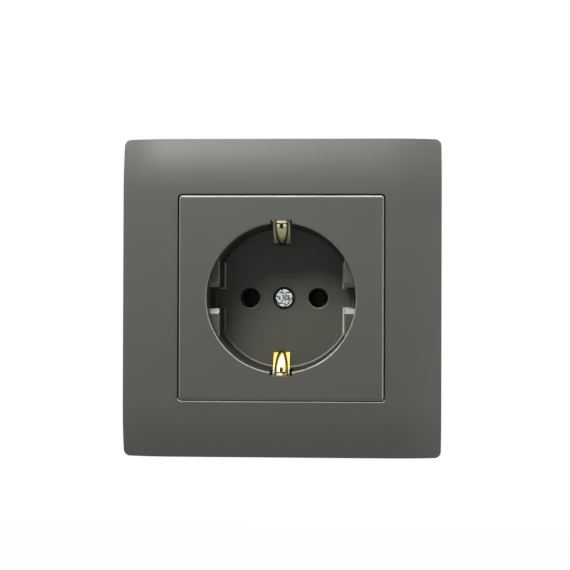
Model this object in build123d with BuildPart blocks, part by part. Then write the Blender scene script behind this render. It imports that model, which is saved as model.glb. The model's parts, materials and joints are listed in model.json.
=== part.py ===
from build123d import *
from math import asin, cos, degrees, radians, sin, tan
import os

# Flush-mounted socket outlet with side earthing contacts, millimetres.
# +X is right and +Z up as seen from the room, and +Y runs into the wall.
# The origin is on the socket's axis, in the plane of the wall.
# Heights are measured from the wall towards the room, so a negative height is inside the wall box.

# Cutting shapes run this far past the faces that they open
overrun = 1.0

# Surround frame
frame_size = 86.0
frame_corner = 1.7
frame_height = 9.8
frame_drop = 2.6
frame_skin = 1.8
frame_wall = 1.8
crown_margin = 0.9
crown_overrun = 6.0
collar_wall = 1.6
ledge_width = 1.7
ledge_thickness = 1.6
frame_edge_round = 0.4
rib_thickness = 1.0
rib_pitch = 15.0
rib_foot = 1.6

# Centre plate and its well
plate_size = 55.0
plate_corner = 0.9
plate_gap = 0.22
plate_proud = 0.4
plate_skin = 2.0
plate_skirt = 1.4
plate_depth = 3.8
plate_edge_round = 0.7
well_rim_radius = 20.1
well_floor_radius = 19.4
well_depth = 17.5
well_rim_round = 0.4
well_floor_bevel = 0.35
pot_wall = 1.4
pot_floor = 2.0
flat_reach = 16.9
flat_draft = 0.25
flat_recess = 4.0
flat_edge_round = 0.35
notch_width = 5.8
notch_chamfer_width = 1.35
notch_chamfer_depth = 1.0

# Pins of the plug
pin_spacing = 19.0
pin_hole = 5.4
cover_pin_hole = 5.0
pin_hole_chamfer = 0.25

# Centre screw
screw_diameter = 2.9
screw_head = 5.4
screw_head_height = 1.9
screw_head_bevel = 0.3
screw_pocket = 6.3
screw_pocket_depth = 2.3
screw_boss_wall = 1.15
screw_boss_skin = 1.3
screw_length = 12.0
thread_clearance = 0.05
screw_gap = 0.2
recess_width = 0.8
recess_length = 3.4
recess_depth = 1.1

# Earth strap
strap_thickness = 0.7
strap_width = 4.5
strap_middle_width = 9.0
strap_middle_length = 36.0
strap_pot_gap = 0.4
spring_top_gap = 0.2
hairpin_width = 1.85
hairpin_round = 0.8
nose_radius = 14.0
nose_height = 3.4
nose_round = 1.0
tail_radius = 17.4
tail_height = -1.6
slot_width = 6.0
slot_foot = -2.0
slot_mouth = 0.8
slot_overcut = 1.5
dart_width = 3.45
dart_rise = 0.6
dart_end = 20.4
dart_hole = 1.0
dart_hole_inset = 1.1
collar_diameter = 5.0
collar_height = 1.5

# Cover over the contact chambers
cover_width = 38.0
cover_height = 35.0
cover_corner = 7.0
cover_thickness = 2.0
cover_boss_gap = 0.2
peg_diameter = 2.9
peg_length = 3.0
peg_spread = 17.0
peg_gap = 0.05
peg_end_gap = 0.5

# Housing
base_height = 43.0
base_corner = 8.5
base_depth = 19.7
base_edge_bevel = 0.8

# Pin receivers
contact_thickness = 0.7
contact_width = 6.0
receiver_bore = 4.2
receiver_slit = 1.4
receiver_flare = 0.45
receiver_length = 8.0
receiver_back = 5.5
receiver_mouth_gap = 1.0
web_hole = 4.4
contact_depth = 16.95
contact_bend = 0.8
chamber_gap = 0.25
tongue_gap = 0.2
tongue_root = 1.6
tongue_width = 4.4
tongue_offset = 8.0
tongue_length = 8.3

# Terminals
terminal_width = 8.0
terminal_length = 7.0
terminal_floor = 1.0
terminal_window = 5.2
terminal_roof = 3.0
terminal_gap = 0.1
terminal_bevel = 0.5
terminal_back_gap = 1.25
earth_terminal_gap = 1.6
terminal_screw_diameter = 3.5
terminal_screw_head = 5.8
terminal_screw_head_height = 2.2
terminal_screw_reach = 1.0
terminal_slot_width = 1.0
terminal_slot_depth = 1.1
driver_hole = 6.6
wire_hole = 4.0
wire_funnel = 5.8

# Support ring
ring_size = 71.0
ring_corner = 7.0
ring_thickness = 1.0
ring_hole_gap = 0.8
box_screw_spacing = 60.0
box_screw_hole = 4.2
keyhole_head = 7.5
keyhole_offset = 4.5
strap_notch_gap = 0.6
leg_width = 8.0
leg_pot_gap = 0.1
leg_thickness = 1.0
leg_length = 20.5
leg_offset = 8.0
leg_relief = 0.6
snap_length = 7.0
snap_width = 1.8
snap_inset = 2.6
snap_pitch = 36.0

# Rivets that hold the housing to the ring's legs
rivet_diameter = 2.5
rivet_head = 4.6
rivet_head_height = 0.8
rivet_bevel = 0.45
rivet_length = 5.2
rivet_gap = 0.02
rivet_end_gap = 0.2
rivet_height = -17.0

# Spreader claws
claw_offset = 8.0
claw_swing = 24.0
claw_rest_slope = 42.0
claw_lever = 3.4
claw_sheet = 0.8
claw_web = 1.0
claw_inner_width = 6.0
claw_web_length = 8.0
claw_web_start = 1.6
claw_knuckle = 1.7
claw_arm_gap = 0.25
claw_arm_width = 3.0
claw_arm_start = 9.0
claw_reach = 17.0
claw_tooth = 1.6
claw_tooth_pitch = 2.1
claw_tooth_lead = 0.8
pivot_depth = 1.9
pivot_inset = 1.25
pin_diameter = 1.5
pin_gap = 0.05
pin_head = 2.6
pin_head_height = 0.5
pin_tail = 0.4
ear_gap = 0.2
ear_sheet = 1.0
ear_round = 1.6
claw_screw_diameter = 2.9
claw_screw_head = 5.4
claw_screw_head_height = 1.8
claw_screw_length = 13.5
claw_screw_gap = 0.05
claw_slot_gap = 0.25
nut_width = 5.0
nut_thickness = 1.8
nut_gap = 0.04
nut_corner = 0.3

# Places that follow from the sizes
crown_half = plate_size / 2 + plate_gap + crown_margin
crown_run = frame_size / 2 - crown_half
crown_radius = (crown_run**2 + frame_drop**2) / (2 * frame_drop)
crown_angle = degrees(asin(crown_run / crown_radius)) + crown_overrun
opening_size = plate_size + 2 * plate_gap
collar_size = opening_size + 2 * collar_wall
cavity_size = frame_size - 2 * frame_wall
face_height = frame_height + plate_proud
ledge_height = face_height - plate_depth
floor_height = face_height - well_depth
pot_back = floor_height - pot_floor
pot_radius = well_rim_radius + pot_wall
flat_height = face_height - flat_recess
skin_height = face_height - plate_skin
screw_seat = floor_height - screw_pocket_depth
boss_radius = screw_pocket / 2 + screw_boss_wall
boss_back = screw_seat - screw_boss_skin
cover_back = pot_back - cover_thickness
strap_front = cover_back
strap_middle = strap_front - strap_thickness / 2
strap_back = strap_front - strap_thickness
strap_leg = pot_radius + strap_pot_gap + strap_thickness / 2
spring_top = skin_height - spring_top_gap - strap_thickness / 2
spring_nose = nose_radius + strap_thickness / 2
base_back = cover_back - base_depth
pin_x = pin_spacing / 2
contact_back = cover_back - contact_depth
contact_web = contact_back + contact_thickness / 2
receiver_outer = receiver_bore / 2 + contact_thickness
receiver_front = cover_back - receiver_mouth_gap
tongue_middle = tongue_offset + contact_thickness / 2
window_top = tongue_offset + terminal_window
terminal_top = window_top + terminal_roof
terminal_start = tongue_offset - terminal_floor
terminal_front = contact_back + terminal_length + terminal_back_gap
earth_terminal_front = strap_back - earth_terminal_gap
ring_hole_radius = pot_radius + ring_hole_gap
leg_inner = pot_radius + leg_pot_gap
leg_outer = leg_inner + leg_thickness
base_width = 2 * leg_inner
arm_inner = leg_inner + claw_arm_gap
pivot_x = arm_inner + pivot_inset
claw_screw_x = pivot_x + claw_lever
cheek_outer = claw_inner_width / 2 + claw_sheet
ear_inner = cheek_outer + ear_gap
ear_outer = ear_inner + ear_sheet

# Sketch planes: side has height along its x and Z along its y, plan has X and height
side = Plane(origin=(0, 0, 0), x_dir=(0, -1, 0), z_dir=(-1, 0, 0))
plan = Plane(origin=(0, 0, 0), x_dir=(1, 0, 0), z_dir=(0, 0, -1))


def front(height):
    """Plane parallel to the wall at a height above it, seen from the room."""
    return Plane.XZ.offset(height)


def crowned_block(top, radius, base):
    """Block whose front is level over the opening and falls in a round arc towards all four edges."""
    sweep_angle = crown_angle
    with BuildPart() as block:
        with BuildSketch(plan) as section:
            with BuildLine():
                level = Line((-crown_half, top), (crown_half, top))
                right = JernArc(level @ 1, level % 1, radius, -sweep_angle)
                left = JernArc(level @ 0, (level % 0) * -1, radius, sweep_angle)
                reach = (right @ 1).X
                Polyline(right @ 1, (reach, base), (-reach, base), left @ 1)
            make_face()
        extrude(section.sketch, amount=crown_half, both=True)
        centre = -(top - radius)
        for end, turn in ((crown_half, 1), (-crown_half, -1)):
            edge_face = section.sketch.face().translate((0, 0, end))
            edge_axis = Axis((0, centre, end), (-turn, 0, 0))
            revolve(edge_face, axis=edge_axis, revolution_arc=sweep_angle)
    return block.part


# Surround frame: a pillow-shaped shell with a collar and a ledge that the centre plate holds down
with BuildPart() as frame_hollow:
    add(crowned_block(frame_height - frame_skin, crown_radius - frame_skin, -frame_skin))
    with BuildSketch(front(-frame_skin)):
        RectangleRounded(cavity_size, cavity_size, frame_corner / 2)
    extrude(amount=frame_height + frame_skin, mode=Mode.INTERSECT)
    with BuildSketch(front(ledge_height - ledge_thickness)):
        Rectangle(collar_size, collar_size)
    extrude(amount=frame_height, mode=Mode.SUBTRACT)
    with BuildSketch(front(rib_foot)):
        for place in (-rib_pitch, 0, rib_pitch):
            with Locations((place, 0)):
                Rectangle(rib_thickness, frame_size)
            with Locations((0, place)):
                Rectangle(frame_size, rib_thickness)
        Rectangle(collar_size, collar_size, mode=Mode.SUBTRACT)
    extrude(amount=frame_height, mode=Mode.SUBTRACT)

with BuildPart() as surround_frame:
    add(crowned_block(frame_height, crown_radius, -frame_skin))
    with BuildSketch(front(0)):
        RectangleRounded(frame_size, frame_size, frame_corner)
    extrude(amount=frame_height + overrun, mode=Mode.INTERSECT)
    with BuildSketch(front(ledge_height)):
        RectangleRounded(opening_size, opening_size, plate_corner)
    extrude(amount=frame_height, mode=Mode.SUBTRACT)
    rim_edges = surround_frame.edges().filter_by(Plane.XZ).group_by(Axis.Y)[0]
    fillet(rim_edges, frame_edge_round)
    add(frame_hollow.part, mode=Mode.SUBTRACT)
    with BuildSketch(front(0)):
        inner_opening = opening_size - 2 * ledge_width
        RectangleRounded(inner_opening, inner_opening, plate_corner)
    extrude(amount=frame_height, mode=Mode.SUBTRACT)
surround_frame.part.label = "surround_frame"

# Well: round and slightly tapered, with two guide flats that leave a notch at three and nine o'clock
with BuildPart() as guide_flats:
    with BuildSketch(plan):
        for hand in (1, -1):
            with BuildLine():
                Polyline(
                    (hand * flat_reach, flat_height),
                    (hand * (pot_radius + overrun), flat_height),
                    (hand * (pot_radius + overrun), floor_height),
                    (hand * (flat_reach - flat_draft), floor_height),
                    close=True,
                )
            make_face()
    extrude(amount=pot_radius, both=True)
    front_edges = (
        guide_flats.edges()
        .filter_by(Axis.Z)
        .filter_by(lambda edge: abs(edge.center().X) < pot_radius)
        .group_by(Axis.Y)[0]
    )
    fillet(front_edges, flat_edge_round)
    with BuildSketch(side):
        with BuildLine():
            Polyline(
                (floor_height, -notch_width / 2),
                (flat_height - notch_chamfer_depth, -notch_width / 2),
                (flat_height, -notch_width / 2 - notch_chamfer_width),
                (flat_height, notch_width / 2 + notch_chamfer_width),
                (flat_height - notch_chamfer_depth, notch_width / 2),
                (floor_height, notch_width / 2),
                close=True,
            )
        make_face()
    extrude(amount=pot_radius + 2 * overrun, both=True, mode=Mode.SUBTRACT)

with BuildPart() as well_space:
    with BuildSketch(plan):
        with BuildLine():
            Polyline(
                (0, face_height),
                (well_rim_radius, face_height),
                (well_floor_radius, floor_height),
                (0, floor_height),
                close=True,
            )
        make_face()
    revolve(axis=Axis.Y)
    add(guide_flats.part, mode=Mode.SUBTRACT)
    chamfer(well_space.faces().sort_by(Axis.Y)[-1].edges(), well_floor_bevel)

# Centre plate: face, skirt and pot in one moulding
with BuildPart() as centre_plate:
    with BuildSketch(front(ledge_height)):
        RectangleRounded(plate_size, plate_size, plate_corner)
    extrude(amount=face_height - ledge_height)
    fillet(centre_plate.faces().sort_by(Axis.Y)[0].edges(), plate_edge_round)
    with BuildSketch(front(ledge_height)):
        inner_size = plate_size - 2 * plate_skirt
        RectangleRounded(inner_size, inner_size, plate_corner / 2)
    extrude(amount=skin_height - ledge_height, mode=Mode.SUBTRACT)
    with BuildSketch(front(pot_back)):
        Circle(pot_radius)
    extrude(amount=skin_height - pot_back)
    with BuildSketch(front(boss_back)):
        Circle(boss_radius)
    extrude(amount=pot_back - boss_back)
    add(well_space.part, mode=Mode.SUBTRACT)
    rim_edge = centre_plate.edges().filter_by(GeomType.CIRCLE).group_by(Axis.Y)[0]
    fillet(rim_edge, well_rim_round)
    with BuildSketch(front(floor_height)):
        with Locations((-pin_x, 0), (pin_x, 0)):
            Circle(pin_hole / 2)
    extrude(amount=-pot_floor, mode=Mode.SUBTRACT)
    with BuildSketch(front(floor_height)):
        Circle(screw_pocket / 2)
    extrude(amount=-screw_pocket_depth, mode=Mode.SUBTRACT)
    with BuildSketch(front(screw_seat)):
        Circle(screw_diameter / 2 + screw_gap)
    extrude(amount=-screw_boss_skin, mode=Mode.SUBTRACT)
    pin_edges = (
        centre_plate.edges()
        .filter_by(GeomType.CIRCLE)
        .filter_by(lambda edge: abs(edge.radius - pin_hole / 2) < 0.01)
        .group_by(Axis.Y)[0]
    )
    chamfer(pin_edges, pin_hole_chamfer)
    for hand in (1, -1):
        with BuildSketch(front(slot_foot)):
            with Locations((0, hand * (well_floor_radius + pot_radius) / 2)):
                Rectangle(slot_width, pot_radius - well_floor_radius + 2 * slot_overcut)
        extrude(amount=skin_height - slot_foot, mode=Mode.SUBTRACT)
        with BuildSketch(front(skin_height)) as mouth:
            with BuildLine():
                mouth_reach = well_rim_radius + slot_mouth
                Polyline(
                    (-slot_width / 2, hand * (well_rim_radius - slot_overcut)),
                    (-slot_width / 2, hand * mouth_reach),
                    (slot_width / 2, hand * mouth_reach),
                    (slot_width / 2, hand * (well_rim_radius - slot_overcut)),
                    close=True,
                )
            make_face()
        extrude(amount=plate_skin, mode=Mode.SUBTRACT)
centre_plate.part.label = "centre_plate"

# Centre screw with a combined cross and slot recess
with BuildPart() as centre_screw:
    with BuildSketch(front(screw_seat)):
        Circle(screw_head / 2)
    extrude(amount=screw_head_height)
    chamfer(centre_screw.faces().sort_by(Axis.Y)[0].edges(), screw_head_bevel)
    head_top = screw_seat + screw_head_height
    with BuildSketch(front(head_top)):
        for turn in (45, 135):
            Rectangle(recess_length, recess_width, rotation=turn)
    extrude(amount=-recess_depth, mode=Mode.SUBTRACT)
    with BuildSketch(front(screw_seat)):
        Circle(screw_diameter / 2)
    extrude(amount=-screw_length)
centre_screw.part.label = "centre_screw"

# Earth strap: one folded strip with a spring contact at each end and a tongue lanced for the terminal
with BuildPart() as earth_strap:
    with BuildSketch(side) as strap_section:
        with BuildLine():
            strap_route = FilletPolyline(
                (tail_height, tail_radius),
                (nose_height, spring_nose),
                (spring_top, strap_leg - hairpin_width),
                (spring_top, strap_leg),
                (strap_middle, strap_leg),
                (strap_middle, -strap_leg),
                (spring_top, -strap_leg),
                (spring_top, -strap_leg + hairpin_width),
                (nose_height, -spring_nose),
                (tail_height, -tail_radius),
                radius=[nose_round] + [hairpin_round] * 6 + [nose_round],
            )
        trace(strap_route, line_width=strap_thickness)
    extrude(amount=strap_width / 2, both=True)
    with BuildSketch(front(strap_back)):
        Rectangle(strap_middle_width, strap_middle_length)
    extrude(amount=strap_thickness)
    with BuildSketch(front(strap_back)):
        Circle(collar_diameter / 2)
    extrude(amount=-collar_height)
    with BuildSketch(front(strap_front)):
        Circle(screw_diameter / 2 + thread_clearance)
    extrude(amount=-strap_thickness - collar_height, mode=Mode.SUBTRACT)
    with BuildSketch(front(strap_front)):
        with Locations((0, -tongue_offset - contact_thickness - tongue_length / 2)):
            Rectangle(tongue_width + 2 * tongue_gap, tongue_length)
    extrude(amount=-strap_thickness, mode=Mode.SUBTRACT)
    with BuildSketch(side):
        with BuildLine():
            earth_tongue = FilletPolyline(
                (strap_middle, -tongue_offset + tongue_root),
                (strap_middle, -tongue_middle),
                (strap_middle - tongue_length, -tongue_middle),
                radius=contact_bend,
            )
        trace(earth_tongue, line_width=contact_thickness)
    extrude(amount=tongue_width / 2, both=True)
    # a roof-shaped dart is pressed into each spring, with its point at the nose and a hole near its wide end
    leaf_rise = spring_top - nose_height
    leaf_run = strap_leg - hairpin_width - spring_nose
    leaf_length = (leaf_rise**2 + leaf_run**2) ** 0.5
    leaf_reach = (dart_end - spring_nose) * leaf_length / leaf_run
    for hand in (1, -1):
        along = Vector(0, -leaf_rise, hand * leaf_run) / leaf_length
        outward = Vector(0, -leaf_run, -hand * leaf_rise) / leaf_length
        nose = Vector(0, -nose_height, hand * spring_nose) + along * nose_round
        dart_plane = Plane(origin=nose + along * (leaf_reach - nose_round), x_dir=(1, 0, 0), z_dir=along)
        for level, mode in ((strap_thickness / 2, Mode.ADD), (-strap_thickness / 2, Mode.SUBTRACT)):
            base_line = dart_plane.to_local_coords(dart_plane.origin + outward * level)
            peak_line = dart_plane.to_local_coords(dart_plane.origin + outward * (level + dart_rise))
            with BuildPart(mode=Mode.PRIVATE) as dart:
                with BuildSketch(dart_plane) as dart_end_face:
                    with BuildLine():
                        Polyline((-dart_width / 2, base_line.Y), (0, peak_line.Y), (dart_width / 2, base_line.Y),
                                 close=True)
                    make_face()
                loft(sections=[dart_end_face.sketch.face(), Vertex(nose + outward * level)])
            add(dart.part, mode=mode)
        hole_place = dart_plane.origin - along * dart_hole_inset
        with BuildSketch(Plane(origin=hole_place, x_dir=(1, 0, 0), z_dir=outward)):
            Circle(dart_hole / 2)
        extrude(amount=strap_thickness + dart_rise, both=True, mode=Mode.SUBTRACT)
earth_strap.part.label = "earth_strap"


def receiver(hand):
    """Pin receiver: two half-round leaves grip the pin, joined by a back web with a tongue for the terminal."""
    with BuildPart() as contact:
        back = receiver_back / 2 + contact_thickness / 2
        leaf_middle = receiver_bore / 2 + contact_thickness / 2
        leaf_foot = receiver_front - receiver_length
        with BuildSketch(front(receiver_front)):
            with Locations((hand * pin_x, 0)):
                Circle(receiver_outer)
                Circle(receiver_bore / 2, mode=Mode.SUBTRACT)
                Rectangle(receiver_slit, 2 * receiver_outer, mode=Mode.SUBTRACT)
        extrude(amount=-receiver_length)
        mouth_edges = (
            contact.edges()
            .filter_by(GeomType.CIRCLE)
            .filter_by(lambda edge: abs(edge.radius - receiver_bore / 2) < 0.01)
            .group_by(Axis.Y)[0]
        )
        chamfer(mouth_edges, receiver_flare)
        with BuildSketch(plan):
            with BuildLine():
                leaves = FilletPolyline(
                    (hand * pin_x - leaf_middle, leaf_foot + contact_thickness),
                    (hand * pin_x - back, leaf_foot - contact_thickness),
                    (hand * pin_x - back, contact_web),
                    (hand * pin_x + back, contact_web),
                    (hand * pin_x + back, leaf_foot - contact_thickness),
                    (hand * pin_x + leaf_middle, leaf_foot + contact_thickness),
                    radius=contact_bend,
                )
            trace(leaves, line_width=contact_thickness)
        extrude(amount=contact_width / 2, both=True)
        with BuildSketch(front(receiver_front)):
            with Locations((hand * pin_x, 0)):
                Circle(receiver_bore / 2)
        extrude(amount=-receiver_length, mode=Mode.SUBTRACT)
        with BuildSketch(Plane(origin=(hand * pin_x, 0, 0), x_dir=side.x_dir, z_dir=side.z_dir)):
            with BuildLine():
                tongue = FilletPolyline(
                    (contact_web, 0),
                    (contact_web, tongue_middle),
                    (contact_web + tongue_length, tongue_middle),
                    radius=contact_bend,
                )
            trace(tongue, line_width=contact_thickness)
        extrude(amount=tongue_width / 2, both=True)
        with BuildSketch(front(contact_web)):
            with Locations((hand * pin_x, 0)):
                Circle(web_hole / 2)
        extrude(amount=contact_thickness, both=True, mode=Mode.SUBTRACT)
    return contact.part


line_contact = receiver(1)
line_contact.label = "line_contact"
neutral_contact = receiver(-1)
neutral_contact.label = "neutral_contact"


def terminal_block(x, hand, block_front):
    """Pillar terminal: a brass block with a window for tongue and wire, and a threaded roof."""
    with BuildPart() as block:
        with BuildSketch(front(block_front)):
            with Locations((x, hand * (terminal_start + terminal_top) / 2)):
                Rectangle(terminal_width, terminal_top - terminal_start)
        extrude(amount=-terminal_length)
        chamfer(block.edges().filter_by(Axis.Y), terminal_bevel)
        with BuildSketch(front(block_front)):
            with Locations((x, hand * (tongue_offset + window_top) / 2)):
                Rectangle(tongue_width + 2 * terminal_gap, terminal_window)
        extrude(amount=-terminal_length, mode=Mode.SUBTRACT)
        with BuildSketch(Plane.XY.offset(hand * window_top)):
            with Locations((x, -(block_front - terminal_length / 2))):
                Circle(terminal_screw_diameter / 2 + thread_clearance)
        extrude(amount=hand * terminal_roof, mode=Mode.SUBTRACT)
    return block.part


def terminal_screw(x, hand, block_front):
    """Slotted screw seated on the roof of its terminal block."""
    screw_y = -(block_front - terminal_length / 2)
    with BuildPart() as screw:
        with BuildSketch(Plane.XY.offset(hand * terminal_top)):
            with Locations((x, screw_y)):
                Circle(terminal_screw_head / 2)
        extrude(amount=hand * terminal_screw_head_height)
        outer_face = screw.faces().sort_by(Axis.Z)[-1 if hand > 0 else 0]
        chamfer(outer_face.edges(), screw_head_bevel)
        with BuildSketch(Plane.XY.offset(hand * (terminal_top + terminal_screw_head_height))):
            with Locations((x, screw_y)):
                Rectangle(terminal_screw_head + overrun, terminal_slot_width)
        extrude(amount=-hand * terminal_slot_depth, mode=Mode.SUBTRACT)
        with BuildSketch(Plane.XY.offset(hand * (window_top - terminal_screw_reach))):
            with Locations((x, screw_y)):
                Circle(terminal_screw_diameter / 2)
        extrude(amount=hand * (terminal_roof + terminal_screw_reach))
    return screw.part


terminals = {
    "line": (pin_x, 1, terminal_front),
    "neutral": (-pin_x, 1, terminal_front),
    "earth": (0, -1, earth_terminal_front),
}
terminal_parts = {}
for name, place in terminals.items():
    terminal_parts[name + "_terminal"] = terminal_block(*place)
    terminal_parts[name + "_terminal_screw"] = terminal_screw(*place)
for name, part in terminal_parts.items():
    part.label = name

# Cover over the contact chambers, with the pin holes that show inside those of the plate
with BuildPart() as contact_cover:
    with BuildSketch(front(cover_back)):
        RectangleRounded(cover_width, cover_height, cover_corner)
        Circle(boss_radius + cover_boss_gap, mode=Mode.SUBTRACT)
        with Locations((-pin_x, 0), (pin_x, 0)):
            Circle(cover_pin_hole / 2, mode=Mode.SUBTRACT)
    extrude(amount=cover_thickness)
    pin_edges = (
        contact_cover.edges()
        .filter_by(GeomType.CIRCLE)
        .filter_by(lambda edge: abs(edge.radius - cover_pin_hole / 2) < 0.01)
        .group_by(Axis.Y)[0]
    )
    chamfer(pin_edges, pin_hole_chamfer)
    with BuildSketch(front(cover_back)):
        with Locations((-peg_spread, 0), (peg_spread, 0)):
            Circle(peg_diameter / 2)
    extrude(amount=-peg_length)
contact_cover.part.label = "contact_cover"

# Housing with chambers for the receivers, the terminals and their screws
with BuildPart() as insert_base:
    with BuildSketch(front(base_back)):
        RectangleRounded(base_width, base_height, base_corner)
    extrude(amount=base_depth)
    chamfer(insert_base.faces().sort_by(Axis.Y)[-1].edges(), base_edge_bevel)
    with BuildSketch(front(cover_back)):
        Rectangle(strap_middle_width + 2 * terminal_gap, strap_middle_length + 2 * terminal_gap)
        Rectangle(strap_width + 2 * terminal_gap, base_height + overrun)
    extrude(amount=-strap_thickness, mode=Mode.SUBTRACT)
    with BuildSketch(front(cover_back)):
        Circle(collar_diameter / 2 + chamber_gap)
    extrude(amount=-screw_length - overrun, mode=Mode.SUBTRACT)
    with BuildSketch(front(cover_back)):
        with Locations((-peg_spread, 0), (peg_spread, 0)):
            Circle(peg_diameter / 2 + peg_gap)
    extrude(amount=-peg_length - peg_end_gap, mode=Mode.SUBTRACT)
    chamber_half = max(receiver_outer, receiver_back / 2 + contact_thickness) + chamber_gap
    block_half = terminal_width / 2 + terminal_gap
    block_reach = terminal_top + terminal_gap
    with BuildSketch(front(cover_back)):
        for hand in (1, -1):
            receiver_foot = -contact_width / 2 - chamber_gap
            with Locations((hand * pin_x, (receiver_foot + terminal_start) / 2)):
                Rectangle(2 * chamber_half, terminal_start - receiver_foot)
            with Locations((hand * pin_x, (terminal_start + block_reach) / 2)):
                Rectangle(2 * block_half, block_reach - terminal_start)
    extrude(amount=-contact_depth, mode=Mode.SUBTRACT)
    with BuildSketch(front(cover_back)):
        with Locations((0, -(terminal_start + block_reach) / 2)):
            Rectangle(2 * block_half, block_reach - terminal_start)
    extrude(amount=earth_terminal_front - terminal_length - cover_back, mode=Mode.SUBTRACT)
    for x, hand, block_front in terminals.values():
        with BuildSketch(Plane.XY.offset(hand * terminal_top)):
            with Locations((x, -(block_front - terminal_length / 2))):
                Circle(driver_hole / 2)
        extrude(amount=hand * base_height, mode=Mode.SUBTRACT)
        wire_z = hand * (tongue_offset + contact_thickness + window_top) / 2
        with BuildSketch(front(base_back)):
            with Locations((x, wire_z)):
                Circle(wire_hole / 2)
        extrude(amount=block_front - terminal_length - base_back, mode=Mode.SUBTRACT)
        mouth_edges = (
            insert_base.edges()
            .filter_by(GeomType.CIRCLE)
            .filter_by(lambda edge: abs(edge.radius - wire_hole / 2) < 0.01)
            .group_by(Axis.Y)[-1]
        )
        chamfer(mouth_edges.sort_by_distance((x, -base_back, wire_z))[0], (wire_funnel - wire_hole) / 2)
    for hand in (1, -1):
        with BuildSketch(Plane.YZ.offset(hand * base_width / 2)):
            with Locations((-rivet_height, hand * leg_offset)):
                Circle(rivet_diameter / 2 + rivet_gap)
        extrude(amount=-hand * rivet_length, mode=Mode.SUBTRACT)
insert_base.part.label = "insert_base"

# Support ring: a steel plate with box-screw holes, two legs for the housing and four ears for the claws
with BuildPart() as support_ring:
    with BuildSketch(front(0)):
        RectangleRounded(ring_size, ring_size, ring_corner)
        Circle(ring_hole_radius, mode=Mode.SUBTRACT)
        notch_reach = strap_leg + strap_thickness / 2 + strap_notch_gap
        Rectangle(strap_width + 2 * strap_notch_gap, 2 * notch_reach, mode=Mode.SUBTRACT)
        with Locations((0, box_screw_spacing / 2), (0, -box_screw_spacing / 2)):
            Circle(box_screw_hole / 2, mode=Mode.SUBTRACT)
        for hand in (1, -1):
            with Locations((hand * box_screw_spacing / 2, 0)):
                Circle(box_screw_hole / 2, mode=Mode.SUBTRACT)
            with Locations((hand * box_screw_spacing / 2, hand * keyhole_offset)):
                Circle(keyhole_head / 2, mode=Mode.SUBTRACT)
            with Locations((hand * box_screw_spacing / 2, hand * keyhole_offset / 2)):
                Rectangle(box_screw_hole, keyhole_offset, mode=Mode.SUBTRACT)
            with Locations((hand * leg_inner / 2, hand * leg_offset)):
                Rectangle(leg_inner, leg_width + 2 * leg_relief, mode=Mode.SUBTRACT)
            with Locations((hand * claw_screw_x, -hand * claw_offset)):
                Circle(claw_screw_diameter / 2 + claw_slot_gap, mode=Mode.SUBTRACT)
            snap_place = ring_size / 2 - snap_inset
            with GridLocations(snap_pitch, 2 * snap_place, 2, 2):
                Rectangle(snap_length, snap_width, mode=Mode.SUBTRACT)
            with GridLocations(2 * snap_place, snap_pitch, 2, 2):
                Rectangle(snap_width, snap_length, mode=Mode.SUBTRACT)
    extrude(amount=ring_thickness)
    for hand in (1, -1):
        with BuildSketch(front(ring_thickness)):
            with Locations((hand * (leg_inner + leg_outer) / 2, hand * leg_offset)):
                Rectangle(leg_thickness, leg_width)
        extrude(amount=-leg_length - ring_thickness)
        with BuildSketch(Plane.YZ.offset(hand * leg_outer)):
            with Locations((-rivet_height, hand * leg_offset)):
                Circle(rivet_diameter / 2 + rivet_gap)
        extrude(amount=-hand * leg_thickness, mode=Mode.SUBTRACT)
        for ear in (ear_inner, -ear_outer):
            ear_low = -hand * claw_offset + ear
            with BuildSketch(plan.offset(-ear_low)):
                with BuildLine():
                    ear_start = hand * (pivot_x - ear_round)
                    ear_end = hand * (pivot_x + ear_round)
                    ear_line = Polyline((ear_start, -pivot_depth), (ear_start, ring_thickness),
                                        (ear_end, ring_thickness), (ear_end, -pivot_depth))
                    ThreePointArc(ear_line @ 1, (hand * pivot_x, -pivot_depth - ear_round), ear_line @ 0)
                make_face()
                with Locations((hand * pivot_x, -pivot_depth)):
                    Circle(pin_diameter / 2 + pin_gap, mode=Mode.SUBTRACT)
            extrude(amount=-ear_sheet)
support_ring.part.label = "support_ring"

# Rivets through the legs into the housing
with BuildPart() as support_rivets:
    for hand in (1, -1):
        with BuildSketch(Plane.YZ.offset(hand * leg_outer)):
            with Locations((-rivet_height, hand * leg_offset)):
                Circle(rivet_head / 2)
        extrude(amount=hand * rivet_head_height)
        with BuildSketch(Plane.YZ.offset(hand * leg_outer)):
            with Locations((-rivet_height, hand * leg_offset)):
                Circle(rivet_diameter / 2)
        extrude(amount=-hand * (leg_thickness + rivet_length - rivet_end_gap))
    outer_edges = support_rivets.edges().filter_by(GeomType.CIRCLE).group_by(Axis.X)
    chamfer(outer_edges[0] + outer_edges[-1], rivet_bevel)
support_rivets.part.label = "support_rivets"


# Claw levers: lengths along the sloping web, from the pivot
rest_slope = radians(claw_rest_slope)
full_slope = radians(claw_rest_slope - claw_swing)
screw_half = claw_screw_diameter / 2 + claw_slot_gap
slot_start = claw_lever / cos(full_slope) - screw_half / cos(full_slope) - claw_web / 2 * tan(full_slope)
slot_end = claw_lever / cos(rest_slope) + screw_half / cos(rest_slope) + claw_web / 2 * tan(rest_slope)
nut_edge = claw_lever + nut_width / 2
nut_rest = nut_edge * tan(rest_slope) + claw_web / 2 / cos(rest_slope) + nut_gap
nut_full = nut_edge * tan(full_slope) + claw_web / 2 / cos(full_slope) + nut_gap
nut_front = -(pivot_depth + nut_rest)
print("claw nut travel", round(nut_rest - nut_full, 4), "mm for", claw_swing, "degrees")


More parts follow.
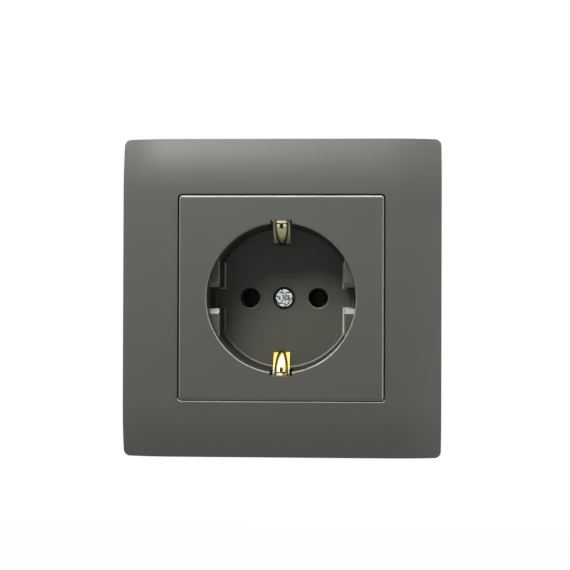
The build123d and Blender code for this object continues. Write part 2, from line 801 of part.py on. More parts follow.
def claw(hand):
    """Spreader claw: a sloping web between two toothed cheeks, folded from one sheet."""
    pivot = Vector(hand * pivot_x, -pivot_depth)
    low = -hand * claw_offset
    along = Vector(hand * cos(rest_slope), -sin(rest_slope))
    across = Vector(along.Y, -along.X) * hand
    with BuildPart() as sheet:
        with BuildSketch(plan.offset(-(low - cheek_outer))):
            with BuildLine():
                web_half = across * (claw_web / 2)
                start = pivot + along * claw_web_start
                end = pivot + along * claw_web_length
                Polyline(start + web_half, end + web_half, end - web_half, start - web_half, close=True)
            make_face()
        extrude(amount=-2 * cheek_outer)
        web_plane = Plane(origin=(pivot.X, -pivot.Y, low), x_dir=(along.X, -along.Y, 0),
                          z_dir=(across.X, -across.Y, 0))
        with BuildSketch(web_plane):
            with Locations(((slot_start + slot_end) / 2, 0)):
                SlotOverall(slot_end - slot_start, 2 * screw_half)
        extrude(amount=claw_web, both=True, mode=Mode.SUBTRACT)
        for cheek_low in (low - cheek_outer, low + claw_inner_width / 2):
            with BuildSketch(plan.offset(-cheek_low)):
                with Locations((pivot.X, pivot.Y)):
                    Circle(claw_knuckle)
                with BuildLine():
                    inner = hand * arm_inner
                    outer = hand * (arm_inner + claw_arm_width)
                    tip = pivot.Y - claw_reach
                    lower_root = tip + claw_tooth_pitch
                    upper_root = tip + 2 * claw_tooth_pitch
                    Polyline(
                        (inner, pivot.Y),
                        (pivot.X, pivot.Y + claw_knuckle),
                        end - web_half,
                        end + web_half,
                        (outer, pivot.Y - claw_arm_start),
                        (outer, upper_root),
                        (outer + hand * claw_tooth, upper_root - claw_tooth_lead),
                        (outer, lower_root),
                        (outer + hand * claw_tooth, lower_root - claw_tooth_lead),
                        (outer, tip),
                        (inner, tip),
                        close=True,
                    )
                make_face()
                with Locations((pivot.X, pivot.Y)):
                    Circle(pin_diameter / 2 + pin_gap, mode=Mode.SUBTRACT)
            extrude(amount=-claw_sheet)
    return sheet.part


def claw_pin(hand):
    """Pivot pin through both ears and both cheeks, headed at one end."""
    low = -hand * claw_offset
    with BuildPart() as pin:
        with BuildSketch(Plane.XY.offset(low - ear_outer)):
            with Locations((hand * pivot_x, pivot_depth)):
                Circle(pin_diameter / 2)
        extrude(amount=2 * ear_outer + pin_tail)
        with BuildSketch(Plane.XY.offset(low - ear_outer)):
            with Locations((hand * pivot_x, pivot_depth)):
                Circle(pin_head / 2)
        extrude(amount=-pin_head_height)
    return pin.part


def claw_screw(hand):
    """Claw screw: its head turns on the front of the ring, its shank runs through web and nut."""
    low = -hand * claw_offset
    seat = ring_thickness + claw_screw_gap
    with BuildPart() as screw:
        with BuildSketch(front(seat)):
            with Locations((hand * claw_screw_x, low)):
                Circle(claw_screw_head / 2)
        extrude(amount=claw_screw_head_height)
        chamfer(screw.faces().sort_by(Axis.Y)[0].edges(), screw_head_bevel)
        with BuildSketch(front(seat + claw_screw_head_height)):
            with Locations((hand * claw_screw_x, low)):
                Rectangle(claw_screw_head + overrun, terminal_slot_width)
        extrude(amount=-terminal_slot_depth, mode=Mode.SUBTRACT)
        with BuildSketch(front(seat)):
            with Locations((hand * claw_screw_x, low)):
                Circle(claw_screw_diameter / 2)
        extrude(amount=-claw_screw_length)
    return screw.part


def claw_nut(hand):
    """Square nut that draws the web towards the ring."""
    low = -hand * claw_offset
    with BuildPart() as nut:
        with BuildSketch(front(nut_front)):
            with Locations((hand * claw_screw_x, low)):
                RectangleRounded(nut_width, nut_width, nut_corner)
                Circle(claw_screw_diameter / 2 + thread_clearance, mode=Mode.SUBTRACT)
        extrude(amount=-nut_thickness)
    return nut.part


claw_parts = {}
for side_name, hand in (("right", 1), ("left", -1)):
    claw_parts[side_name + "_claw"] = claw(hand)
    claw_parts[side_name + "_claw_pin"] = claw_pin(hand)
    claw_parts[side_name + "_claw_screw"] = claw_screw(hand)
    claw_parts[side_name + "_claw_nut"] = claw_nut(hand)
for name, part in claw_parts.items():
    part.label = name

os.makedirs("parts", exist_ok=True)
export_step(surround_frame.part, "parts/surround_frame.step")
export_step(centre_plate.part, "parts/centre_plate.step")
export_step(centre_screw.part, "parts/centre_screw.step")
export_step(earth_strap.part, "parts/earth_strap.step")
export_step(contact_cover.part, "parts/contact_cover.step")
export_step(insert_base.part, "parts/insert_base.step")
export_step(support_ring.part, "parts/support_ring.step")
export_step(support_rivets.part, "parts/support_rivets.step")
export_step(line_contact, "parts/line_contact.step")
export_step(neutral_contact, "parts/neutral_contact.step")
for name, part in {**terminal_parts, **claw_parts}.items():
    export_step(part, "parts/" + name + ".step")
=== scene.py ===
import json
from math import atan2, cos, hypot, pi, radians, sin
import bmesh
import bpy
from mathutils import Matrix, Vector

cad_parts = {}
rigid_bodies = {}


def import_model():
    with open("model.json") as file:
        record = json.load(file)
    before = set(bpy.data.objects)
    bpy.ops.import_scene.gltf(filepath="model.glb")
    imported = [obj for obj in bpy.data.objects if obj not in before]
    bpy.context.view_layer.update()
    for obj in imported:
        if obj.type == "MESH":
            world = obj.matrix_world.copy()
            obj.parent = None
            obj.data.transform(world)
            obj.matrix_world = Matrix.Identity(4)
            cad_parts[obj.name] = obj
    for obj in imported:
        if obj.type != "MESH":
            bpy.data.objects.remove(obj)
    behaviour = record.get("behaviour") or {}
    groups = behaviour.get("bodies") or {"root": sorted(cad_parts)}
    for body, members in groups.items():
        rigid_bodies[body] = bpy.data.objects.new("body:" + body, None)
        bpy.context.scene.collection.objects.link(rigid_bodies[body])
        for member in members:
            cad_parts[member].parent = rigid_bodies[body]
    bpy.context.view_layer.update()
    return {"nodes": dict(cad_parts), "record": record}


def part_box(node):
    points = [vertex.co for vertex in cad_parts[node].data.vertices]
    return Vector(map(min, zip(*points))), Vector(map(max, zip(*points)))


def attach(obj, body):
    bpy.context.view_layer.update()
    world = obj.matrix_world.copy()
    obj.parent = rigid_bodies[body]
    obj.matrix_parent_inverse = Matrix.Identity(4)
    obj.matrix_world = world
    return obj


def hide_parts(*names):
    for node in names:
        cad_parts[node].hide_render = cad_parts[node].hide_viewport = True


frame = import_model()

mm = 0.001
sceneObjects = bpy.context.scene.collection.objects
print("frame loaded:", len(frame["nodes"]), "nodes")


def linear(hexText):
    # sRGB hex to linear colour
    channels = [int(hexText[i:i + 2], 16) / 255 for i in (0, 2, 4)]
    return [c / 12.92 if c <= 0.04045 else ((c + 0.055) / 1.055) ** 2.4 for c in channels] + [1.0]


def addNode(tree, kind, inputs=None, **settings):
    # one node with its settings; an input is a value to set or another node's output to link
    node = tree.nodes.new(kind)
    for name, value in settings.items():
        setattr(node, name, value)
    for socket, value in (inputs or {}).items():
        if isinstance(value, bpy.types.NodeSocket):
            tree.links.new(value, node.inputs[socket])
        else:
            node.inputs[socket].default_value = value
    return node


def newMaterial(name):
    material = bpy.data.materials.new(name)
    material.use_nodes = True
    material.node_tree.nodes.clear()
    return material, material.node_tree


def perMetre(sizeMm):
    # noise scale whose features are about this many millimetres wide
    return 1 / (sizeMm * mm)


def readSurface(tree):
    # where a point lies, in millimetres, and which way it faces: aside and away are its distances from the
    # socket's upright and level middle planes, and lean is 1 on faces square to the axis and 0 on side walls
    coordinates = addNode(tree, "ShaderNodeTexCoord").outputs
    placeMm = addNode(tree, "ShaderNodeVectorMath", {0: coordinates["Object"], "Scale": 1 / mm},
                      operation="SCALE").outputs["Vector"]
    place = addNode(tree, "ShaderNodeSeparateXYZ", {"Vector": placeMm}).outputs
    facing = addNode(tree, "ShaderNodeSeparateXYZ", {"Vector": coordinates["Normal"]}).outputs
    read = {"x": place["X"], "depth": place["Y"], "z": place["Z"], "up": facing["Z"]}
    for name, source in (("aside", place["X"]), ("away", place["Z"]), ("lean", facing["Y"])):
        read[name] = addNode(tree, "ShaderNodeMath", {0: source}, operation="ABSOLUTE").outputs[0]
    return read


def distanceFrom(tree, read, height, spanX, spanZ):
    # distance from the middle line at this height above and below the axis, counted in spans across and along
    flat = addNode(tree, "ShaderNodeCombineXYZ", {"X": read["aside"], "Z": read["away"]})
    offset = addNode(tree, "ShaderNodeVectorMath", {0: flat.outputs["Vector"], 1: (0, 0, height)},
                     operation="SUBTRACT")
    spans = addNode(tree, "ShaderNodeVectorMath", {0: offset.outputs["Vector"], 1: (spanX, 1, spanZ)},
                    operation="DIVIDE")
    length = addNode(tree, "ShaderNodeVectorMath", {0: spans.outputs["Vector"]}, operation="LENGTH")
    return length.outputs["Value"]


def maskOf(tree, *steps):
    # steps multiplied: each is a value, where it starts, where it is full, and what is left before it, if any
    share = 1.0
    for value, start, full, *left in steps:
        step = addNode(tree, "ShaderNodeMapRange", {
            "Value": value, "From Min": start, "From Max": full, "To Min": left[0] if left else 0.0},
            interpolation_type="SMOOTHSTEP").outputs["Result"]
        share = addNode(tree, "ShaderNodeMath", {0: share, 1: step}, operation="MULTIPLY").outputs[0]
    return share


def layTints(tree, tint, layers):
    # lays each colour over the ones before it, as far as its mask reaches
    for colour, share in layers:
        tint = addNode(tree, "ShaderNodeMix", {"Factor": share, "A": tint, "B": colour},
                       data_type="RGBA").outputs["Result"]
    return tint


# In the settings below, a pair is where a mask starts and where it is full: in millimetres for a place, and
# from 0 to 1 for a facing or a noise.

# Graphite ABS, moulded in a spark-eroded tool: an even dark grey with a fine grain that scatters the gloss.
# Its rounded and bevelled edges are glossier and carry a painted highlight, most where they face up, so they
# show as thin pale lines.
graphiteSet = {
    "hex": "535350", "patchHex": "585853", "patchMm": 9.0, "roughness": 0.42, "gloss": 0.22,
    "grainMm": 0.25, "bump": 0.12, "bumpMm": 0.02, "edgeMm": 0.12,
    "paintedHighlightHex": "9C9B92", "edgeRoughness": 0.22, "highlightUp": (-0.2, 0.4), "highlightElsewhere": 0.3,
    "offSides": (0.12, 0.30), "offFront": (0.90, 0.84),
}
# The frame's edge round the centre plate: a painted highlight as a thin light line where it faces up, and
# painted shade in the gap elsewhere
frameSet = dict(graphiteSet, gapShadeHex="1E1E1B", gapEdgeHighlightHex="C8C7BC", gapReach=(28.9, 28.6), gapUp=(0.1, 0.4))
# The centre plate's well: its floor is painted lighter below the middle, as lit from above, its wall is
# painted darker with shade, painted highlights lie on the notches' ledges and the flats' feet, and scuffs lie
# on the floor
wellSet = dict(
    graphiteSet,
    floorLightHex="626359", floorFront=(3.0, 4.0), floorBack=(10.2, 9.8), floorLightHeight=(9.0, -9.0),
    wallShadeHex="33322E", wallLean=(0.40, 0.30), wallRadius=(20.6, 20.2),
    unlitDepth=(2.0, 4.0), unlitHeight=(-4.0, 6.0),
    ledgeHighlightHex="BDBCB2", ledgeUp=(0.3, 0.5), ledgeHalf=(5.2, 4.9),
    ledgeStart=(17.0, 17.3), ledgeEnd=(20.6, 20.4),
    footPaintedLightHex="E6E4D8", footDepth=(5.0, 6.0), footHalf=(10.0, 9.7),
    footStart=(15.6, 15.8), footEnd=(18.0, 17.8),
    scuffHex="75756E", scuffMm=0.8, scuffDepth=(4.0, 5.0), scuffShare=(0.56, 0.72),
    scuffTurn=34, scuffStretch=0.7,
)
# Polycarbonate and polyamide of the inner mouldings: near black, smoother, with no rubbed edges
coverSet = {
    "hex": "1C1C1A", "patchHex": "20201E", "patchMm": 6.0, "roughness": 0.40, "gloss": 0.3,
    "grainMm": 0.25, "bump": 0.08, "bumpMm": 0.02, "edgeMm": 0.08,
}
housingSet = dict(coverSet, hex="2E2E2C", patchHex="353533", edgeMm=0.25)


def edgeSteps(read, look):
    # fillets and bevels are the faces that lean away from the front and from the side walls
    return (read["lean"], *look["offSides"]), (read["lean"], *look["offFront"])


def framePaintedEdgeLight(tree, read, look):
    edge = edgeSteps(read, look)
    # painted highlight on the edges, most where they face up; the same mask makes them glossier
    glossAndPaintedHighlight = maskOf(tree, *edge, (read["up"], *look["highlightUp"], look["highlightElsewhere"]))
    fromAxis = addNode(tree, "ShaderNodeMath", {0: read["aside"], 1: read["away"]}, operation="MAXIMUM")
    # painted shade in the gap round the plate, with a painted highlight where its edge faces up
    gapEdge = maskOf(tree, *edge, (fromAxis.outputs[0], *look["gapReach"]))
    gapShadeAndHighlight = layTints(tree, linear(look["gapShadeHex"]),
                       [(linear(look["gapEdgeHighlightHex"]), maskOf(tree, (read["up"], *look["gapUp"])))])
    return glossAndPaintedHighlight, [(linear(look["paintedHighlightHex"]), glossAndPaintedHighlight), (gapShadeAndHighlight, gapEdge)]


def wellScuffsAndPaintedLight(tree, read, look):
    edge = edgeSteps(read, look)
    # painted light: the floor is lighter below the middle
    floorPaintedLight = maskOf(tree, (read["depth"], *look["floorFront"]), (read["depth"], *look["floorBack"]),
                  (read["z"], *look["floorLightHeight"]))
    # painted shade on the well's wall
    wallShade = maskOf(tree, (read["lean"], *look["wallLean"]),
                  (distanceFrom(tree, read, 0, 1, 1), *look["wallRadius"]))
    # painted highlight on the edges, which are also glossier, left off in the upper part of the well, where
    # shade falls
    edges = maskOf(tree, *edge, (read["up"], *look["highlightUp"], look["highlightElsewhere"]))
    unlitUpperWell = maskOf(tree, (read["depth"], *look["unlitDepth"]), (read["z"], *look["unlitHeight"]))
    kept = addNode(tree, "ShaderNodeMath", {0: 1.0, 1: unlitUpperWell}, operation="SUBTRACT").outputs[0]
    glossAndPaintedHighlight = addNode(tree, "ShaderNodeMath", {0: edges, 1: kept}, operation="MULTIPLY").outputs[0]
    # painted highlight on the notches' up-facing ledges
    ledgeHighlight = maskOf(tree, (read["up"], *look["ledgeUp"]), (read["aside"], *look["ledgeStart"]),
                   (read["aside"], *look["ledgeEnd"]), (read["away"], *look["ledgeHalf"]))
    # painted highlight on the flats' feet
    footHighlight = maskOf(tree, *edge, (read["depth"], *look["footDepth"]), (read["aside"], *look["footStart"]),
                  (read["aside"], *look["footEnd"]), (read["away"], *look["footHalf"]))
    # short marks where plugs have turned and scraped
    turned = addNode(tree, "ShaderNodeMapping", {
        "Vector": addNode(tree, "ShaderNodeTexCoord").outputs["Object"],
        "Rotation": (0, radians(look["scuffTurn"]), 0), "Scale": (1.0, 1.0, look["scuffStretch"])})
    marks = addNode(tree, "ShaderNodeTexNoise", {
        "Vector": turned.outputs["Vector"], "Scale": perMetre(look["scuffMm"]),
        "Detail": 5.0, "Roughness": 0.65, "Distortion": 0.6})
    scuffs = maskOf(tree, (marks.outputs["Fac"], *look["scuffShare"]), (read["depth"], *look["scuffDepth"]))
    return glossAndPaintedHighlight, [
        (linear(look["floorLightHex"]), floorPaintedLight),
        (linear(look["wallShadeHex"]), wallShade),
        (linear(look["paintedHighlightHex"]), glossAndPaintedHighlight),
        (linear(look["ledgeHighlightHex"]), ledgeHighlight),
        (linear(look["footPaintedLightHex"]), footHighlight),
        (linear(look["scuffHex"]), scuffs),
    ]


def mouldedPlastic(name, look, paintedLightAndMarks=None):
    material, tree = newMaterial(name)
    place = addNode(tree, "ShaderNodeTexCoord").outputs["Object"]
    patches = addNode(tree, "ShaderNodeTexNoise",
                      {"Vector": place, "Scale": perMetre(look["patchMm"]), "Detail": 3.0}).outputs["Fac"]
    layers = [(linear(look["patchHex"]), patches)]
    roughness = look["roughness"]
    if paintedLightAndMarks:
        # layers of painted light and marks, and the mask of the glossier edges with their painted highlight
        glossAndPaintedHighlight, paintedLightAndMarkLayers = paintedLightAndMarks(tree, readSurface(tree), look)
        layers += paintedLightAndMarkLayers
        roughness = addNode(tree, "ShaderNodeMapRange", {
            "Value": glossAndPaintedHighlight, "To Min": roughness, "To Max": look["edgeRoughness"]}).outputs["Result"]
    grain = addNode(tree, "ShaderNodeTexNoise",
                    {"Vector": place, "Scale": perMetre(look["grainMm"]), "Detail": 2.0})
    soft = addNode(tree, "ShaderNodeBevel", {"Radius": look["edgeMm"] * mm}, samples=4)
    bump = addNode(tree, "ShaderNodeBump", {
        "Height": grain.outputs["Fac"], "Strength": look["bump"], "Distance": look["bumpMm"] * mm,
        "Normal": soft.outputs["Normal"]})
    shader = addNode(tree, "ShaderNodeBsdfPrincipled", {
        "Base Color": layTints(tree, linear(look["hex"]), layers), "Roughness": roughness,
        "IOR": 1.52, "Specular IOR Level": look["gloss"], "Normal": bump.outputs["Normal"]})
    addNode(tree, "ShaderNodeOutputMaterial", {"Surface": shader.outputs["BSDF"]})
    return material


# Bright zinc plating on steel: cool grey metal, clouded by the plating bath and a little uneven
zincSet = {
    "hex": "C6C9CA", "patchHex": "9EA3A6", "patchMm": 1.2, "contrast": (0.25, 0.75),
    "roughLow": 0.24, "roughHigh": 0.44, "edgeMm": 0.10, "bumpMm": 0.004,
}
# The same plating on turned screws: brighter and finer
zincScrewSet = dict(zincSet, hex="D6DADC", patchHex="A4A9AC", patchMm=0.7, roughLow=0.18, roughHigh=0.32,
                    bumpMm=0.006)
# A stamped and plated screw head: grainy, with bright and grey flecks a few tenths of a millimetre wide
grainyZincSet = dict(zincSet, hex="E2EBE8", patchHex="3E4644", patchMm=0.42, contrast=(0.42, 0.58),
                     roughLow=0.16, roughHigh=0.34, bumpMm=0.035)
# Rolled brass strip: pale yellow metal, clouded by a light tarnish
brassSet = dict(zincSet, hex="E2D7A4", patchHex="C2B075", patchMm=1.6, roughLow=0.20, roughHigh=0.34,
                bumpMm=0.001)
# Brass of the contacts in the closed chambers: tarnished brown, with little shine left, and painted darker
# still with the chambers' shade
shadedBrassSet = dict(brassSet, hex="5A4B33", patchHex="3A3124", roughLow=0.45, roughHigh=0.6)


def platedMetal(name, look):
    material, tree = newMaterial(name)
    place = addNode(tree, "ShaderNodeTexCoord").outputs["Object"]
    patches = addNode(tree, "ShaderNodeTexNoise",
                      {"Vector": place, "Scale": perMetre(look["patchMm"]), "Detail": 4.0}).outputs["Fac"]
    clouds = [(linear(look["patchHex"]), maskOf(tree, (patches, *look["contrast"])))]
    rough = addNode(tree, "ShaderNodeMapRange",
                    {"Value": patches, "To Min": look["roughLow"], "To Max": look["roughHigh"]})
    soft = addNode(tree, "ShaderNodeBevel", {"Radius": look["edgeMm"] * mm}, samples=4)
    bump = addNode(tree, "ShaderNodeBump", {
        "Height": patches, "Strength": 0.5, "Distance": look["bumpMm"] * mm,
        "Normal": soft.outputs["Normal"]})
    shader = addNode(tree, "ShaderNodeBsdfPrincipled", {
        "Base Color": layTints(tree, linear(look["hex"]), clouds), "Metallic": 1.0,
        "Roughness": rough.outputs["Result"], "Normal": bump.outputs["Normal"]})
    addNode(tree, "ShaderNodeOutputMaterial", {"Surface": shader.outputs["BSDF"]})
    return material


zincSteel = platedMetal("zincPlatedSteel", zincSet)
zincScrew = platedMetal("brightZincScrew", zincScrewSet)
grainyZinc = platedMetal("grainyZincHead", grainyZincSet)
rolledBrass = platedMetal("rolledBrass", brassSet)
shadedBrass = platedMetal("tarnishedAndShadedBrass", shadedBrassSet)

slotFinish = {
    "graphite_plastic": mouldedPlastic("graphiteAbs", frameSet, framePaintedEdgeLight),
    "cover_plastic": mouldedPlastic("blackPolycarbonate", coverSet),
    "housing_plastic": mouldedPlastic("blackPolyamide", housingSet),
    "brass_strip": rolledBrass, "brass_block": rolledBrass, "zinc_sheet": zincSteel, "zinc_screw": zincScrew,
}
nodeFinish = {
    "centre_plate": mouldedPlastic("graphiteAbsScuffedPaintedLight", wellSet, wellScuffsAndPaintedLight),
    # the contacts get the tarnished brass with painted shade
    "line_contact": shadedBrass, "neutral_contact": shadedBrass,
}
for part in frame["record"]["subparts"]:
    materials = frame["nodes"][part["node"]].data.materials
    materials.clear()
    materials.append(nodeFinish.get(part["node"], slotFinish[part["material_slot"]]))


def finishPiece(bm, name, material, body, node):
    # turns a finished bmesh into a piece that rides on a body and stands for a CAD node
    bmesh.ops.remove_doubles(bm, verts=bm.verts, dist=0.0005 * mm)
    bmesh.ops.recalc_face_normals(bm, faces=bm.faces)
    mesh = bpy.data.meshes.new(name)
    bm.to_mesh(mesh)
    bm.free()
    mesh.shade_smooth()
    mesh.set_sharp_from_angle(angle=radians(32))
    mesh.materials.append(material)
    piece = bpy.data.objects.new(name, mesh)
    sceneObjects.link(piece)
    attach(piece, body)
    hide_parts(node)


def joinInto(bm, shape):
    # adds a finished shape to a bmesh as a closed shell of its own
    mesh = bpy.data.meshes.new("shape")
    shape.to_mesh(mesh)
    shape.free()
    bm.from_mesh(mesh)
    bpy.data.meshes.remove(mesh)


def markPlane(bm, point, normal):
    # cuts every face where the plane crosses it and keeps both sides
    bmesh.ops.bisect_plane(bm, geom=bm.verts[:] + bm.edges[:] + bm.faces[:], dist=1e-7, plane_co=point,
                           plane_no=normal)


def liftFaces(bm, faces):
    # extrudes a region of faces in place and gives back the points to move
    lifted = bmesh.ops.extrude_face_region(bm, geom=faces)["geom"]
    bmesh.ops.delete(bm, geom=faces, context="FACES")
    return [g for g in lifted if isinstance(g, bmesh.types.BMVert)]


# Earth springs: each leaf leans into the well and carries a pressed dome, blunt at the nose, with a small
# tooling hole
springSet = {
    "nose": (14.35, 3.4), "bend": (20.4, 7.65), "thickness": 0.7, "leafFront": 2.4,
    "halfWidth": 1.75, "rise": 0.72, "noseInset": 0.15, "domeSides": (40, 28), "underside": 0.4,
    "hole": 1.0, "holeInset": 1.1, "holeDepth": 0.8, "holeSides": 8,
}
# Brass of the springs: olive where it has tarnished, with painted light on it: a painted highlight on the
# domes, and painted shade in the crease round each dome and its hole, over the upper spring, which is the
# duller one and darkest towards its nose, on the right side of the lower dome and on the lower leaf near its
# bend. Lengths named From are counted from the leaf's bend towards its nose.
springBrassSet = dict(
    brassSet, hex="94884A", patchHex="7E7440", roughLow=0.34, roughHigh=0.46,
    leafDepth=0.4, upperShadeHex="86846E", upperHeight=(-1.0, 1.0), paintedHighlightHex="F4ECC6", domeFull=0.5,
    domeShadeHex="A3A07C", domeShadeFrom=(0.8, 1.4), noseShadeHex="4C4C3E", noseShadeFrom=2.0,
    sideShadeHex="94823E", sideStart=(0.1, 0.5), footPaintedLightHex="6E6B56", footFrom=(1.6, 0.9),
    creaseShadeHex="211F16", creaseWidth=0.13, holeEdge=(0.55, 0.4),
)


def springBrass(look, shape):
    material, tree = newMaterial("springBrass")
    place = addNode(tree, "ShaderNodeTexCoord").outputs["Object"]
    patches = addNode(tree, "ShaderNodeTexNoise",
                      {"Vector": place, "Scale": perMetre(look["patchMm"]), "Detail": 4.0}).outputs["Fac"]
    read = readSurface(tree)
    noseZ, noseHeight = shape["nose"]
    bendZ, bendHeight = shape["bend"]
    run = bendZ - noseZ
    holeRun = shape["holeInset"] * run / hypot(run, bendHeight - noseHeight)
    ring = distanceFrom(tree, read, bendZ, shape["halfWidth"], run)       # 1 on the dome's outline
    holeRing = distanceFrom(tree, read, bendZ - holeRun, 1, 1)
    fromBend = addNode(tree, "ShaderNodeMath", {0: bendZ, 1: read["away"]}, operation="SUBTRACT").outputs[0]
    inner, outer = 1 - look["creaseWidth"], 1 + look["creaseWidth"]
    onLeaf = (read["depth"], -shape["leafFront"], -shape["leafFront"] - look["leafDepth"])
    onDome = (ring, inner, look["domeFull"])
    offDome = (ring, look["domeFull"], inner)
    upper = (read["z"], *look["upperHeight"])
    lower = (read["z"], *reversed(look["upperHeight"]))
    layers = [
        (linear(look["patchHex"]), patches),
        # painted shade: the upper spring is duller
        (linear(look["upperShadeHex"]), maskOf(tree, upper)),
        # painted highlight on the domes
        (linear(look["paintedHighlightHex"]), maskOf(tree, onDome, onLeaf)),
        # painted shade on the upper dome away from its bend, where only the cap keeps its painted highlight
        (linear(look["domeShadeHex"]), maskOf(tree, onDome, onLeaf, upper, (fromBend, *look["domeShadeFrom"]))),
        # painted shade on the upper leaf, darkest at its nose
        (linear(look["noseShadeHex"]), maskOf(tree, onLeaf, upper, (fromBend, look["noseShadeFrom"], run))),
        # painted shade on the right side of the lower dome
        (linear(look["sideShadeHex"]), maskOf(tree, onDome, onLeaf, lower, (read["x"], *look["sideStart"]))),
        # painted shade on the lower leaf near its bend, off the dome
        (linear(look["footPaintedLightHex"]), maskOf(tree, offDome, onLeaf, lower, (fromBend, *look["footFrom"]))),
        # painted shade in the crease round each dome and round its hole
        (linear(look["creaseShadeHex"]), maskOf(tree, onLeaf, (ring, inner, 1), (ring, outer, 1))),
        (linear(look["creaseShadeHex"]), maskOf(tree, onLeaf, (holeRing, *look["holeEdge"]))),
    ]
    rough = addNode(tree, "ShaderNodeMapRange",
                    {"Value": patches, "To Min": look["roughLow"], "To Max": look["roughHigh"]})
    soft = addNode(tree, "ShaderNodeBevel", {"Radius": look["edgeMm"] * mm}, samples=4)
    shader = addNode(tree, "ShaderNodeBsdfPrincipled", {
        "Base Color": layTints(tree, linear(look["hex"]), layers), "Metallic": 1.0,
        "Roughness": rough.outputs["Result"], "Normal": soft.outputs["Normal"]})
    addNode(tree, "ShaderNodeOutputMaterial", {"Surface": shader.outputs["BSDF"]})
    return material


def leafFrame(hand, look):
    # the bend's point on the leaf's front face, and the directions along the leaf and out of it
    noseZ, noseHeight = look["nose"]
    bendZ, bendHeight = look["bend"]
    run, rise = bendZ - noseZ, bendHeight - noseHeight
    length = hypot(run, rise)
    along = Vector((0, -rise, hand * run)) / length
    outward = Vector((0, -run, -hand * rise)) / length
    bend = Vector((0, -bendHeight, hand * bendZ)) + outward * look["thickness"] / 2
    return bend * mm, along, outward, length


def sinkHole(bm, look):
    # marks the hole's outline with planes and pushes the faces inside it down
    middle = Vector((0, 0, -look["holeInset"] * mm))
    radius = look["hole"] / 2 * mm
    angles = [2 * pi * side / look["holeSides"] for side in range(look["holeSides"])]
    normals = [Vector((cos(angle), 0, sin(angle))) for angle in angles]
    for normal in normals:
        markPlane(bm, middle + normal * radius, normal)
    sunk = [f for f in bm.faces if f.normal.y > 0.3        # the dome's outer faces, not its underside
            and max((f.calc_center_median() - middle).dot(normal) for normal in normals) < radius]
    for v in liftFaces(bm, sunk):
        v.co.y -= look["holeDepth"] * mm


def springDome(hand, look):
    # half an egg: an ellipsoid cut at its widest place, laid on the leaf with its point towards the nose
    bend, along, outward, length = leafFrame(hand, look)
    sidesRound, sidesAlong = look["domeSides"]
    bm = bmesh.new()
    bmesh.ops.create_uvsphere(bm, u_segments=sidesRound, v_segments=sidesAlong, radius=1.0)
    cut = bmesh.ops.bisect_plane(bm, geom=bm.verts[:] + bm.edges[:] + bm.faces[:], plane_co=(0, 0, 0),
                                 plane_no=(0, 0, 1), clear_outer=True)["geom_cut"]
    bmesh.ops.contextual_create(bm, geom=[g for g in cut if isinstance(g, bmesh.types.BMEdge)])
    for v in bm.verts:
        v.co.y = max(v.co.y, -look["underside"])
    size = Vector((look["halfWidth"], look["rise"], length - look["noseInset"])) * mm
    bmesh.ops.scale(bm, verts=bm.verts, vec=size)
    bmesh.ops.recalc_face_normals(bm, faces=bm.faces)
    sinkHole(bm, look)
    axes = Matrix(((1, 0, 0), outward, along)).transposed().to_4x4()
    bmesh.ops.transform(bm, verts=bm.verts, matrix=Matrix.Translation(bend) @ axes)
    bmesh.ops.recalc_face_normals(bm, faces=bm.faces)
    return bm


def makeEarthStrap(look):
    # the strap as packed, with the domes standing in its leaves
    bm = bmesh.new()
    bm.from_mesh(frame["nodes"]["earth_strap"].data)
    bmesh.ops.remove_doubles(bm, verts=bm.verts, dist=0.0005 * mm)
    bmesh.ops.recalc_face_normals(bm, faces=bm.faces)
    for hand in (1, -1):
        joinInto(bm, springDome(hand, look))
    brass = springBrass(springBrassSet, look)
    finishPiece(bm, "earthStrapPressed", brass, "socket", "earth_strap")


makeEarthStrap(springSet)
print("earth strap pressed: 2 domes")

# Screws: turned heads with pressed recesses and rolled threads, built upright and laid along their axis
combiRecess = {"slot": (0.66, 4.2), "cross": (0.8, 3.4), "depth": 0.9}
slotRecess = {"slot": (1.0, 7.0), "cross": None, "depth": 1.1}
clawScrew = {"facing": "front", "head": 5.4, "headHeight": 1.8, "shank": 2.9, "turn": 0, "recess": slotRecess}
terminalScrew = {"body": "socket", "head": 5.8, "headHeight": 2.2, "shank": 3.5, "recess": slotRecess}
screwSet = {
    "centre_screw": {"body": "socket", "facing": "front", "head": 5.1, "headHeight": 1.9, "shank": 2.9,
                     "turn": 38, "recess": combiRecess, "finish": grainyZinc},
    "right_claw_screw": dict(clawScrew, body="right_claw_screw"),
    "left_claw_screw": dict(clawScrew, body="left_claw_screw"),
    "line_terminal_screw": dict(terminalScrew, facing="up", turn=70),
    "neutral_terminal_screw": dict(terminalScrew, facing="up", turn=20),
    "earth_terminal_screw": dict(terminalScrew, facing="down", turn=50),
}
threadSet = {"pitch": 0.5, "depth": 0.26, "sides": 24, "stepsPerTurn": 6}
headSet = {"sides": 48, "rimBevel": 0.28, "rimSteps": 3, "topShare": 0.6}


